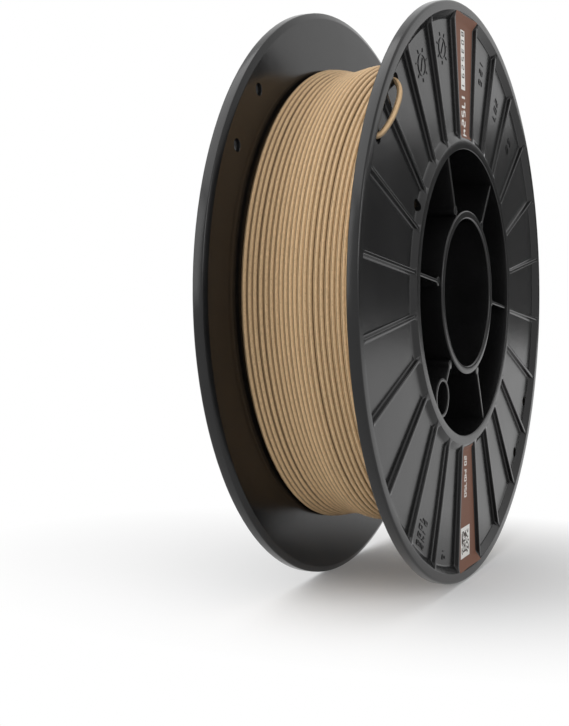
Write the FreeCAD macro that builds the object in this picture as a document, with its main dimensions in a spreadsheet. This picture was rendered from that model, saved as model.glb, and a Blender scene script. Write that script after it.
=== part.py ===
import FreeCAD, Part
import math
import os
import Sketcher

# A 1.75 mm filament spool: two moulded halves that meet at mid-width, the wound strand and two labels.
# Each half is one moulding, given here as its flange, drum, bore tube, webs and drive ring.
# The spool's axis is X, +X is the flange that shows its ribs, Z is up, and the origin is the bore's centre.
# Angles go clockwise from the top as seen from +X, so 90 degrees is towards +Y.

Vector = FreeCAD.Vector
X_AXIS = Vector(1, 0, 0)
CENTRE = Vector(0, 0, 0)

# Driving dimensions, in millimetres, degrees and counts
sizes = {
    "SpoolDiameter": 200.0,
    "SpoolWidth": 52.5,
    "FlangeDepth": 4.4,
    "RimBand": 3.4,
    "RimStep": 2.0,
    "RimRounding": 0.8,
    "RimLipWidth": 3.3,
    "CollarRadius": 53.0,
    "FloorHubRadius": 55.4,
    "FloorRimRadius": 94.1,
    "PocketDepthHub": 1.6,
    "PocketDepthRim": 1.9,
    "FloorRounding": 2.0,
    "RibCount": 24.0,
    "RibThickness": 1.2,
    "RibSetback": 0.3,
    "DrumInnerRadius": 49.85,
    "DrumOuterRadius": 52.0,
    "SeatClearance": 0.05,
    "BoreRadius": 25.75,
    "TubeOuterRadius": 28.6,
    "WebCount": 6.0,
    "WebThickness": 1.2,
    "WebSetback": 0.8,
    "ColumnRadius": 1.6,
    "ColumnPitchRadius": 30.3,
    "PegRadius": 0.8,
    "PegLength": 4.0,
    "PegClearance": 0.08,
    "SocketOuterRadius": 6.6,
    "SocketInnerRadius": 5.4,
    "SocketPitchRadius": 43.6,
    "EndHoleRadius": 2.0,
    "EndHolePitchRadius": 91.8,
    "StartHoleRadius": 2.0,
    "StartHolePitchRadius": 56.0,
    "StrandDiameter": 1.75,
    "WindingCrestRadius": 79.5,
    "WindingWave": 0.6,
    "WindingWaveLength": 21.0,
    "WindingClearance": 0.1,
    "CoreClearance": 0.2,
    "SlotWidth": 2.4,
    "SlotLength": 6.0,
    "LabelThickness": 0.25,
    "LabelGap": 0.35,
    "LabelMargin": 0.8,
    "LabelFit": 0.02,
}

# Sizes that follow from the driving ones
sizes["MidPlane"] = 0.0
sizes["HalfWidth"] = sizes["SpoolWidth"] / 2
sizes["RimRadius"] = sizes["SpoolDiameter"] / 2
sizes["RimLipRadius"] = sizes["RimRadius"] - sizes["RimLipWidth"]
sizes["RimInnerX"] = sizes["HalfWidth"] - sizes["RimBand"]
sizes["RimStepRadius"] = sizes["RimRadius"] - sizes["RimStep"]
sizes["WindingFaceX"] = sizes["HalfWidth"] - sizes["FlangeDepth"]
sizes["FloorHubX"] = sizes["HalfWidth"] - sizes["PocketDepthHub"]
sizes["FloorRimX"] = sizes["HalfWidth"] - sizes["PocketDepthRim"]
sizes["FlangeSeatRadius"] = sizes["DrumOuterRadius"] + sizes["SeatClearance"]
sizes["RibTopX"] = sizes["HalfWidth"] - sizes["RibSetback"]
sizes["RibRootX"] = (sizes["WindingFaceX"] + sizes["FloorRimX"]) / 2
sizes["RibHubRadius"] = (sizes["FlangeSeatRadius"] + sizes["CollarRadius"]) / 2
sizes["RibRimRadius"] = sizes["RimLipRadius"] + sizes["RimLipWidth"] / 4
sizes["WebFrontX"] = sizes["HalfWidth"] - sizes["WebSetback"]
sizes["WebHalf"] = sizes["WebThickness"] / 2
sizes["PegHoleRadius"] = sizes["PegRadius"] + sizes["PegClearance"]
sizes["PegHoleDepth"] = sizes["PegLength"] + sizes["SeatClearance"]
sizes["CoreInnerRadius"] = sizes["DrumOuterRadius"] + sizes["WindingClearance"]
sizes["CoreEndX"] = sizes["WindingFaceX"] - sizes["WindingClearance"]
sizes["CoreEndLeftX"] = -sizes["CoreEndX"]
sizes["TroughX"] = sizes["WindingWaveLength"] / 2
sizes["TroughLeftX"] = -sizes["TroughX"]

STRAND_RADIUS = sizes["StrandDiameter"] / 2
TURN_CENTRE_RADIUS = sizes["WindingCrestRadius"] - sizes["WindingWave"] / 2 - STRAND_RADIUS
CORE_DROP = STRAND_RADIUS + sizes["CoreClearance"]
sizes["CoreCrestRadius"] = TURN_CENTRE_RADIUS + sizes["WindingWave"] - CORE_DROP
sizes["CoreTroughRadius"] = TURN_CENTRE_RADIUS - sizes["WindingWave"] - CORE_DROP

# Places round the axis. A rib stands half a pocket off the top, so a pocket is centred there.
POCKET_ANGLE = 360 / sizes["RibCount"]
RIB_TURN = POCKET_ANGLE / 2
WEB_ANGLES = [37.5 + 60 * k for k in range(int(sizes["WebCount"]))]
PEG_WEBS = (0, 1, 4)
SOCKET_ANGLE = 217.5
END_HOLE_ANGLES = (300.0, 315.0, 120.0, 135.0)
START_HOLE_ANGLE = 300.0
EXIT_ANGLE = 300.0
RETURN_ANGLE = 315.0
FLIP_AXIS_ANGLE = 127.5

# The outer layer of the winding: centre line from the rear flange to the front one
TURNS_START_X = -20.85
TURNS_END_X = 20.7
HALF_TURNS = 37
START_BEND_RADIUS = 2.5
END_STRAIGHT = sizes["StrandDiameter"]
LEAST_GAP = 0.4
SAMPLE_STEP = 1.0

# The strand's end: how far the loop stands proud of the rim and where along its stride it levels out,
# how far below the front face it bends into the holes and is cut off, and the share of a straight run
# that a bend may use up
LOOP_RISE = 1.35
LOOP_SHOULDERS = (0.34, 0.65)
BEND_DEPTH = 0.3
END_DEPTH = 5.7
BEND_SHARE = 0.45

# Allowances for comparing lengths in millimetres, volumes in cubic millimetres and volumes by their ratio
SAME_LENGTH = 0.01
LEAST_CUT = 0.001
VOLUME_SHARE = 0.01

doc = FreeCAD.newDocument("FilamentSpool")
sheet = doc.addObject("Spreadsheet::Sheet", "Dims")
for row, (alias, value) in enumerate(sizes.items(), start=1):
    sheet.set("A%d" % row, alias)
    sheet.set("B%d" % row, "%.6f" % value)
    sheet.setAlias("B%d" % row, alias)
doc.recompute()


def around(angle, radius=1.0, x=0.0):
    """Point at an angle clockwise from the top, a radius from the axis and a place along it."""
    turn = math.radians(angle)
    return Vector(x, radius * math.sin(turn), radius * math.cos(turn))


def along_turn(angle):
    """Unit direction in which a point moves as its angle grows."""
    turn = math.radians(angle)
    return Vector(0, math.cos(turn), -math.sin(turn))


def plane_of(body, role):
    return next(f for f in body.Origin.OriginFeatures if f.Role == role)


def new_body(name):
    body = doc.addObject("PartDesign::Body", name)
    body.Label = name
    return body


def new_sketch(body, name, role):
    sketch = body.newObject("Sketcher::SketchObject", name)
    sketch.AttachmentSupport = [(plane_of(body, role), "")]
    sketch.MapMode = "FlatFace"
    return sketch


def bind(feature, prop, alias):
    feature.setExpression(prop, "Dims." + alias)


def tie(sketch, kind, alias, *place):
    """Adds a dimension of the sheet to a sketch."""
    index = sketch.addConstraint(Sketcher.Constraint(kind, *place, sizes[alias]))
    bind(sketch, "Constraints[%d]" % index, alias)


def closed_outline(sketch, corners):
    """Straight edges through corners, each a pair of sheet names for its place along and off the axis."""
    points = [Vector(sizes[a], sizes[b], 0) for a, b in corners]
    count = len(points)
    for i in range(count):
        sketch.addGeometry(Part.LineSegment(points[i], points[(i + 1) % count]), False)
    for i in range(count):
        sketch.addConstraint(Sketcher.Constraint("Coincident", i, 2, (i + 1) % count, 1))
    for i, (along, off) in enumerate(corners):
        if along == "MidPlane":
            sketch.addConstraint(Sketcher.Constraint("PointOnObject", i, 1, -2))
        else:
            tie(sketch, "DistanceX", along, -1, 1, i, 1)
        tie(sketch, "DistanceY", off, -1, 1, i, 1)


def circles(sketch, places, alias):
    """Circles of one sheet radius, centred at angles and radii on the body before it is turned."""
    for angle, radius in places:
        centre = around(angle - RIB_TURN, radius)
        flat = Vector(centre.y, centre.z, 0)
        index = sketch.addGeometry(Part.Circle(flat, Vector(0, 0, 1), sizes[alias]), False)
        tie(sketch, "Radius", alias, index)
        for kind, distance in (("DistanceX", flat.x), ("DistanceY", flat.y)):
            sketch.addConstraint(Sketcher.Constraint(kind, -1, 1, index, 3, distance))


def revolve(body, sketch, name):
    turned = body.newObject("PartDesign::Revolution", name)
    turned.Profile = sketch
    turned.ReferenceAxis = (sketch, ["H_Axis"])
    turned.Angle = 360
    return turned


def pad(body, sketch, name, alias, reverse=False):
    grown = body.newObject("PartDesign::Pad", name)
    grown.Profile = sketch
    grown.Reversed = reverse
    bind(grown, "Length", alias)
    return grown


def cut_through(body, sketch, name):
    """Cuts towards +X, through everything, and checks that it took something away."""
    doc.recompute()
    before = body.Shape.Volume
    cut = body.newObject("PartDesign::Pocket", name)
    cut.Profile = sketch
    cut.Type = "ThroughAll"
    cut.Reversed = True
    doc.recompute()
    if body.Shape.Volume > before - LEAST_CUT:
        raise RuntimeError(name + " cuts nothing")
    return cut


def repeat_round(body, feature, name, count_alias):
    pattern = body.newObject("PartDesign::PolarPattern", name)
    pattern.Originals = [feature]
    pattern.Axis = (plane_of(body, "X_Axis"), [""])
    pattern.Angle = 360
    bind(pattern, "Occurrences", count_alias)
    body.Tip = pattern
    return pattern


def round_circles(body, base, name, alias, rings):
    """Rounds the circular edges of the last feature that lie at given places along X and radii."""
    doc.recompute()
    edges = []
    for number, edge in enumerate(base.Shape.Edges, start=1):
        if not isinstance(edge.Curve, Part.Circle):
            continue
        for x, radius in rings:
            if max(abs(edge.Curve.Radius - radius), abs(edge.Curve.Center.x - x)) < SAME_LENGTH:
                edges.append("Edge%d" % number)
    fillet = body.newObject("PartDesign::Fillet", name)
    fillet.Base = (base, edges)
    bind(fillet, "Radius", alias)
    return fillet


def half_placement(rear):
    """Front half as moulded, turned by half a pocket, or the same half turned over for the rear."""
    front = FreeCAD.Placement(CENTRE, FreeCAD.Rotation(X_AXIS, -RIB_TURN))
    if not rear:
        return front
    return FreeCAD.Placement(CENTRE, FreeCAD.Rotation(around(FLIP_AXIS_ANGLE), 180)) * front


def make_flange(name, rear):
    """Disc with a smooth winding face, and pockets between thin ribs on its outer face."""
    body = new_body(name)
    section = new_sketch(body, name + "_section", "XZ_Plane")
    closed_outline(section, [
        ("HalfWidth", "FlangeSeatRadius"),
        ("HalfWidth", "CollarRadius"),
        ("FloorHubX", "FloorHubRadius"),
        ("FloorRimX", "FloorRimRadius"),
        ("HalfWidth", "RimLipRadius"),
        ("HalfWidth", "RimRadius"),
        ("RimInnerX", "RimRadius"),
        ("WindingFaceX", "RimStepRadius"),
        ("WindingFaceX", "FlangeSeatRadius"),
    ])
    disc = revolve(body, section, name + "_disc")
    rim = round_circles(body, disc, name + "_rim_rounding", "RimRounding", [
        (sizes["HalfWidth"], sizes["RimRadius"]),
        (sizes["RimInnerX"], sizes["RimRadius"]),
    ])
    round_circles(body, rim, name + "_floor_rounding", "FloorRounding", [
        (sizes["FloorHubX"], sizes["FloorHubRadius"]),
        (sizes["FloorRimX"], sizes["FloorRimRadius"]),
    ])
    rib_side = new_sketch(body, name + "_rib_side", "XZ_Plane")
    closed_outline(rib_side, [
        ("RibRootX", "RibHubRadius"),
        ("RibTopX", "RibHubRadius"),
        ("RibTopX", "RibRimRadius"),
        ("RibRootX", "RibRimRadius"),
    ])
    rib = pad(body, rib_side, name + "_rib", "RibThickness")
    rib.SideType = "Symmetric"
    repeat_round(body, rib, name + "_ribs", "RibCount")
    end_holes = new_sketch(body, name + "_end_holes_plan", "YZ_Plane")
    circles(end_holes, [(a, sizes["EndHolePitchRadius"]) for a in END_HOLE_ANGLES], "EndHoleRadius")
    cut_through(body, end_holes, name + "_end_holes")
    start_hole = new_sketch(body, name + "_start_hole_plan", "YZ_Plane")
    circles(start_hole, [(START_HOLE_ANGLE, sizes["StartHolePitchRadius"])], "StartHoleRadius")
    cut_through(body, start_hole, name + "_start_hole")
    body.Placement = half_placement(rear)
    return body


def sector_outline(sketch):
    """Opening between two webs: two sides parallel to the webs, joined by arcs on the tube and drum."""
    half = math.radians(180 / sizes["WebCount"])
    radii = (sizes["TubeOuterRadius"], sizes["DrumInnerRadius"])
    reach = [math.sqrt(r * r - sizes["WebHalf"] ** 2) for r in radii]
    right = [Vector(t * math.sin(half) - sizes["WebHalf"] * math.cos(half),
                    t * math.cos(half) + sizes["WebHalf"] * math.sin(half), 0) for t in reach]
    left = [Vector(-p.x, p.y, 0) for p in right]
    turns = [math.atan2(p.y, p.x) for p in right]
    sketch.addGeometry(Part.LineSegment(right[0], right[1]), False)
    outer = Part.Circle(CENTRE, Vector(0, 0, 1), radii[1])
    sketch.addGeometry(Part.ArcOfCircle(outer, turns[1], math.pi - turns[1]), False)
    sketch.addGeometry(Part.LineSegment(left[1], left[0]), False)
    inner = Part.Circle(CENTRE, Vector(0, 0, 1), radii[0])
    sketch.addGeometry(Part.ArcOfCircle(inner, turns[0], math.pi - turns[0]), False)
    for first, second in (((0, 2), (1, 1)), ((1, 2), (2, 1)), ((2, 2), (3, 2)), ((3, 1), (0, 1))):
        sketch.addConstraint(Sketcher.Constraint("Coincident", *first, *second))
    for arc in (1, 3):
        sketch.addConstraint(Sketcher.Constraint("Coincident", arc, 3, -1, 1))
    tie(sketch, "Radius", "DrumInnerRadius", 1)
    tie(sketch, "Radius", "TubeOuterRadius", 3)
    for line in (0, 2):
        tie(sketch, "Distance", "WebHalf", -1, 1, line)
    slope = math.pi / 2 - half
    sketch.addConstraint(Sketcher.Constraint("Angle", 0, slope))
    sketch.addConstraint(Sketcher.Constraint("Angle", 2, -slope))


def make_sleeve(name, rear, inner, outer):
    """Plain round wall from mid-width to the outer face."""
    body = new_body(name)
    section = new_sketch(body, name + "_section", "XZ_Plane")
    closed_outline(section, [
        ("MidPlane", inner),
        ("HalfWidth", inner),
        ("HalfWidth", outer),
        ("MidPlane", outer),
    ])
    revolve(body, section, name + "_wall")
    body.Placement = half_placement(rear)
    return body


def make_webs(name, rear):
    """Six webs between the bore tube and the drum, each with a column whose peg or hole joins the halves."""
    body = new_body(name)
    body.AllowCompound = True
    section = new_sketch(body, name + "_section", "XZ_Plane")
    closed_outline(section, [
        ("MidPlane", "TubeOuterRadius"),
        ("WebFrontX", "TubeOuterRadius"),
        ("WebFrontX", "DrumInnerRadius"),
        ("MidPlane", "DrumInnerRadius"),
    ])
    revolve(body, section, name + "_blank")
    sector = new_sketch(body, name + "_sector", "YZ_Plane")
    sector_outline(sector)
    opening = cut_through(body, sector, name + "_opening")
    repeat_round(body, opening, name + "_openings", "WebCount")
    columns = new_sketch(body, name + "_column_plan", "YZ_Plane")
    circles(columns, [(a, sizes["ColumnPitchRadius"]) for a in WEB_ANGLES], "ColumnRadius")
    pad(body, columns, name + "_columns", "WebFrontX")
    ring_place = new_sketch(body, name + "_ring_place", "YZ_Plane")
    circles(ring_place, [(SOCKET_ANGLE, sizes["SocketPitchRadius"])], "SocketOuterRadius")
    cut_through(body, ring_place, name + "_room_for_ring")
    peg_angles = [WEB_ANGLES[k] for k in PEG_WEBS]
    pegs = new_sketch(body, name + "_peg_plan", "YZ_Plane")
    circles(pegs, [(a, sizes["ColumnPitchRadius"]) for a in peg_angles], "PegRadius")
    pad(body, pegs, name + "_pegs", "PegLength", reverse=True)
    hole_angles = [a for a in WEB_ANGLES if a not in peg_angles]
    peg_holes = new_sketch(body, name + "_peg_hole_plan", "YZ_Plane")
    circles(peg_holes, [(a, sizes["ColumnPitchRadius"]) for a in hole_angles], "PegHoleRadius")
    sunk = cut_through(body, peg_holes, name + "_peg_holes")
    sunk.Type = "Length"
    bind(sunk, "Length", "PegHoleDepth")
    body.Placement = half_placement(rear)
    return body


def make_drive_ring(name, rear):
    """Ring in the line of one web that takes a drive pin, trimmed to the drum's wall."""
    body = new_body(name)
    place = [(SOCKET_ANGLE, sizes["SocketPitchRadius"])]
    plan = new_sketch(body, name + "_plan", "YZ_Plane")
    circles(plan, place, "SocketOuterRadius")
    circles(plan, place, "SocketInnerRadius")
    pad(body, plan, name + "_wall", "WebFrontX")
    drum = new_sketch(body, name + "_drum_wall", "YZ_Plane")
    circles(drum, [(0, 0)], "DrumInnerRadius")
    circles(drum, [(0, 0)], "DrumOuterRadius")
    cut_through(body, drum, name + "_trim")
    body.Placement = half_placement(rear)
    return body


def make_half(side, rear):
    return [
        make_flange(side + "_flange", rear),
        make_sleeve(side + "_drum", rear, "DrumInnerRadius", "DrumOuterRadius"),
        make_sleeve(side + "_bore_tube", rear, "BoreRadius", "TubeOuterRadius"),
        make_webs(side + "_webs", rear),
        make_drive_ring(side + "_drive_ring", rear),
    ]


def turn_radius(x):
    """Radius of the outer layer's centre line, which swells and dips along the drum."""
    return TURN_CENTRE_RADIUS + sizes["WindingWave"] * math.cos(math.tau * x / sizes["WindingWaveLength"])


def end_angle():
    """Angle at which a straight run leaves the last turn so that it meets the flange's first hole."""
    return EXIT_ANGLE - math.degrees(math.acos(turn_radius(TURNS_END_X) / sizes["EndHolePitchRadius"]))


def start_angle():
    return end_angle() - 180 * HALF_TURNS


def make_inner_layers(name):
    """The layers under the outer one, as a plain core with a slot where the strand comes up."""
    body = new_body(name)
    section = new_sketch(body, name + "_section", "XZ_Plane")
    closed_outline(section, [
        ("CoreEndLeftX", "CoreInnerRadius"),
        ("CoreEndX", "CoreInnerRadius"),
        ("CoreEndX", "CoreCrestRadius"),
        ("TroughX", "CoreTroughRadius"),
        ("MidPlane", "CoreCrestRadius"),
        ("TroughLeftX", "CoreTroughRadius"),
        ("CoreEndLeftX", "CoreCrestRadius"),
    ])
    revolve(body, section, name + "_rings")
    doc.recompute()
    before = body.Shape.Volume
    slot = body.newObject("PartDesign::SubtractiveBox", name + "_slot")
    bind(slot, "Length", "SlotWidth")
    bind(slot, "Width", "SlotLength")
    bind(slot, "Height", "SlotLength")
    angle = start_angle()
    floor = turn_radius(TURNS_START_X) - START_BEND_RADIUS - END_STRAIGHT
    turned = FreeCAD.Rotation(X_AXIS, -angle)
    corner = around(angle, floor, TURNS_START_X - sizes["SlotWidth"] / 2)
    slot.Placement = FreeCAD.Placement(corner - along_turn(angle) * sizes["SlotWidth"] / 2, turned)
    doc.recompute()
    if body.Shape.Volume > before - LEAST_CUT:
        raise RuntimeError("the slot cuts nothing")
    return body


def arc_through(start, corner, end):
    """Arc from start to end whose tangents meet at corner, which is equally far from both."""
    middle = (start + end) / 2
    rise = (corner - middle).Length
    side = (corner - start).Length
    cosine = (end - start).Length / 2 / side
    if rise == 0:
        raise RuntimeError("straight stretch given as an arc")
    return Part.Arc(start, middle + (corner - middle) * cosine / (1 + cosine), end).toShape()


def biarc(start, start_way, end, end_way):
    """Two arcs that leave start along start_way and reach end along end_way."""
    chord = end - start
    ways = start_way + end_way
    spread = 2 * (1 - start_way.dot(end_way))
    across = chord.dot(ways)
    length = (math.sqrt(across ** 2 + spread * chord.dot(chord)) - across) / spread
    first = start + start_way * length
    second = end - end_way * length
    joint = (first + second) / 2
    return [arc_through(start, first, joint), arc_through(joint, second, end)]


def rounded_route(points):
    """Straight runs through points, joined by arcs that take a share of the shorter run on each side."""
    edges = []
    here = points[0]
    radii = []
    for before, corner, after in zip(points, points[1:], points[2:]):
        inward = (corner - before).normalize()
        outward = (after - corner).normalize()
        reach = BEND_SHARE * min((corner - before).Length, (after - corner).Length)
        entry = corner - inward * reach
        leave = corner + outward * reach
        radii.append(reach / math.tan(inward.getAngle(outward) / 2))
        edges.append(Part.LineSegment(here, entry).toShape())
        edges.append(arc_through(entry, corner, leave))
        here = leave
    edges.append(Part.LineSegment(here, points[-1]).toShape())
    return Part.Wire(edges), radii


def strand_along(route):
    """Round strand swept along a wire."""
    start = route.Edges[0].Vertexes[0].Point
    way = (route.Edges[0].Vertexes[1].Point - start).normalize()
    ring = Part.Wire([Part.Circle(start, way, STRAND_RADIUS).toShape()])
    return route.makePipeShell([ring], True, False)


def turns_route():
    """Rises out of the core's slot, winds to the front flange and ends on its way to the first hole."""
    angle = start_angle()
    radius = turn_radius(TURNS_START_X)
    out = around(angle)
    foot = around(angle, radius - START_BEND_RADIUS - END_STRAIGHT, TURNS_START_X)
    knee = foot + out * END_STRAIGHT
    corner = knee + out * START_BEND_RADIUS
    here = corner + along_turn(angle) * START_BEND_RADIUS
    way = along_turn(angle)
    edges = [Part.LineSegment(foot, knee).toShape(), arc_through(knee, corner, here)]
    slope = (TURNS_END_X - TURNS_START_X) / math.radians(180 * HALF_TURNS)
    for half in range(1, HALF_TURNS + 1):
        angle = start_angle() + 180 * half
        x = TURNS_START_X + (TURNS_END_X - TURNS_START_X) * half / HALF_TURNS
        radius = turn_radius(x)
        there = around(angle, radius, x)
        next_way = along_turn(angle)
        if half < HALF_TURNS:
            next_way = (next_way * radius + X_AXIS * slope).normalize()
        edges += biarc(here, way, there, next_way)
        here = there
        way = next_way
    edges.append(Part.LineSegment(here, here + way * END_STRAIGHT).toShape())
    return Part.Wire(edges)


def least_gap(route, apart):
    """Smallest clear distance between stretches of the winding further apart than a length along it."""
    count = int(route.Length / SAMPLE_STEP)
    points = route.discretize(Number=count)
    skip = int(apart / SAMPLE_STEP)
    least = math.inf
    for i in range(count - skip):
        for point in points[i + skip:]:
            if point.x - points[i].x > least:
                break
            least = min(least, (point - points[i]).Length)
    return least - sizes["StrandDiameter"]


def make_outer_turns(name):
    route = turns_route()
    gap = least_gap(route, math.pi * TURN_CENTRE_RADIUS)
    print("%s: %d half turns, length %.0f mm, least gap %.3f mm" % (name, HALF_TURNS, route.Length, gap))
    if gap < LEAST_GAP:
        raise RuntimeError("the turns lie too close")
    turns = doc.addObject("Part::Feature", name)
    turns.Shape = strand_along(route)
    compare_volume(turns, route)
    return turns


def make_strand_end(name):
    """Leaves the last turn, passes out through one hole, over a rib and back in through the next."""
    angle = end_angle()
    leave = around(angle, turn_radius(TURNS_END_X), TURNS_END_X) + along_turn(angle) * END_STRAIGHT
    exit_hole = around(EXIT_ANGLE, sizes["EndHolePitchRadius"])
    return_hole = around(RETURN_ANGLE, sizes["EndHolePitchRadius"])
    stride = return_hole - exit_hole
    front = sizes["HalfWidth"]
    points = [leave, exit_hole + X_AXIS * TURNS_END_X, exit_hole + X_AXIS * (front - BEND_DEPTH)]
    points += [exit_hole + stride * share + X_AXIS * (front + LOOP_RISE) for share in LOOP_SHOULDERS]
    points += [return_hole + X_AXIS * (front - depth) for depth in (BEND_DEPTH, END_DEPTH)]
    route, radii = rounded_route(points)
    print("%s: length %.1f mm, bend radii %s mm" % (name, route.Length, [round(r, 1) for r in radii]))
    end = doc.addObject("Part::Feature", name)
    end.Shape = strand_along(route)
    compare_volume(end, route)
    return end


def compare_volume(strand, route):
    expected = math.pi * STRAND_RADIUS ** 2 * route.Length
    share = strand.Shape.Volume / expected
    print("%s: volume is %.4f of section times length" % (strand.Label, share))
    if abs(share - 1) > VOLUME_SHARE:
        raise RuntimeError(strand.Label + " has a wrong volume")


def pocket_side(angle, half_thickness):
    """Block along a rib's centre line, as thick as the rib and what stays clear beside it."""
    block = Part.makeBox(sizes["SpoolWidth"], 2 * half_thickness, sizes["RimRadius"],
                         Vector(0, -half_thickness, 0))
    return block.rotate(CENTRE, X_AXIS, -angle)


def pocket_place(radius):
    """Place along the axis of a pocket's floor, which slopes up to the collar and to the rim's lip."""
    corners = [("CollarRadius", "HalfWidth"), ("FloorHubRadius", "FloorHubX"),
               ("FloorRimRadius", "FloorRimX"), ("RimLipRadius", "HalfWidth")]
    for (low, low_x), (high, high_x) in zip(corners, corners[1:]):
        if radius <= sizes[high]:
            share = (radius - sizes[low]) / (sizes[high] - sizes[low])
            return sizes[low_x] + (sizes[high_x] - sizes[low_x]) * share
    raise RuntimeError("radius outside the pocket")


def make_label(name, lower):
    """Sticker that covers the whole floor of the pocket at the top, or of the one at the bottom."""
    margin = sizes["LabelMargin"]
    radii = [sizes["CollarRadius"] + margin]
    radii += [sizes[bend] + way * margin for bend in ("FloorHubRadius", "FloorRimRadius") for way in (-1, 1)]
    radii += [sizes["RimLipRadius"] - margin]
    under = [Vector(pocket_place(r) + sizes["LabelFit"], 0, r) for r in radii]
    over = [point + X_AXIS * sizes["LabelThickness"] for point in reversed(under)]
    section = Part.Face(Part.makePolygon(under + over + under[:1]))
    section.rotate(CENTRE, X_AXIS, POCKET_ANGLE / 2)
    sticker = section.revolve(CENTRE, X_AXIS, -POCKET_ANGLE)
    for turn in (RIB_TURN, -RIB_TURN):
        sticker = sticker.cut(pocket_side(turn, sizes["RibThickness"] / 2 + sizes["LabelGap"]))
    if lower:
        sticker.rotate(CENTRE, X_AXIS, 180)
    label = doc.addObject("Part::Feature", name)
    label.Shape = sticker
    return label


sub_parts = make_half("front", rear=False) + make_half("rear", rear=True) + [
    make_inner_layers("filament_inner_layers"),
    make_outer_turns("filament_outer_turns"),
    make_strand_end("filament_end"),
    make_label("upper_label", lower=False),
    make_label("lower_label", lower=True),
]

doc.recompute()
for thing in doc.Objects:
    if "Invalid" in thing.State or "Error" in thing.State:
        raise RuntimeError(thing.Name + " failed: " + str(thing.State))
for sub_part in sub_parts:
    shape = sub_part.Shape
    if shape.isNull() or not shape.isValid():
        raise RuntimeError(sub_part.Label + " has no valid shape")

os.makedirs("parts", exist_ok=True)
for sub_part in sub_parts:
    sub_part.Shape.exportStep(os.path.join("parts", sub_part.Label + ".step"))
    box = sub_part.Shape.BoundBox
    print("%-24s solids %d  volume %8.0f mm3  x %.2f to %.2f" % (
        sub_part.Label, len(sub_part.Shape.Solids), sub_part.Shape.Volume, box.XMin, box.XMax))
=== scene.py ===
"""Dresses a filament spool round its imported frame.

The spool's axis is X, +X is the flange that carries the labels, Z is up and the origin is the bore's
centre. Angles round the axis are in degrees, clockwise from the top as seen from +X. Lengths are in
metres.
"""

import math

import bmesh
import bpy
import numpy as np
from mathutils import Euler, Matrix, Vector


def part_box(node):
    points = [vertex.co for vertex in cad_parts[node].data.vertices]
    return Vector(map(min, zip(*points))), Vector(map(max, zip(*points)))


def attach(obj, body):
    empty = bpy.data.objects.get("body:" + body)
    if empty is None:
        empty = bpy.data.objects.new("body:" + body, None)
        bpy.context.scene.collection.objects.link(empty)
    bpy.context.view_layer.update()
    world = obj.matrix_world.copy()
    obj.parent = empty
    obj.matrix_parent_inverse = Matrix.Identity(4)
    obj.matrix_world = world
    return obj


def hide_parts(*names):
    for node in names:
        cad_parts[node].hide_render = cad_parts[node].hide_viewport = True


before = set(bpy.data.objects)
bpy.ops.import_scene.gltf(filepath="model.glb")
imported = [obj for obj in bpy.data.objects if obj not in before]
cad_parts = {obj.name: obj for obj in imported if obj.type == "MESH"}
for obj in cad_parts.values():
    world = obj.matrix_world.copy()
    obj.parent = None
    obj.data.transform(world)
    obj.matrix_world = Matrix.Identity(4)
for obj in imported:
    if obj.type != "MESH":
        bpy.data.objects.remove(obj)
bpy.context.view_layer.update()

bl_info = {
    "name": "Filament spool",
    "version": (1, 0, 0),
    "blender": (4, 5, 0),
    "location": "View3D > Sidebar > Spool",
    "description": "Builds the visible surfaces of a filament spool round its frame",
    "category": "Object",
}

MM = 0.001
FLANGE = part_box("front_flange")
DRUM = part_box("front_drum")
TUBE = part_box("front_bore_tube")


def from_frame(value):
    """A size read from the frame, in millimetres to the nearest tenth."""
    return round(value / MM, 1)


def length(name, description, millimetres):
    """A property that holds a length, with its default given in millimetres."""
    return bpy.props.FloatProperty(name=name, description=description, default=millimetres * MM,
                                   precision=5, unit="LENGTH")


def colour(name, description, rgb):
    """A property that holds a colour."""
    return bpy.props.FloatVectorProperty(name=name, description=description, default=rgb,
                                         size=3, min=0.0, max=1.0, subtype="COLOR")


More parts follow.
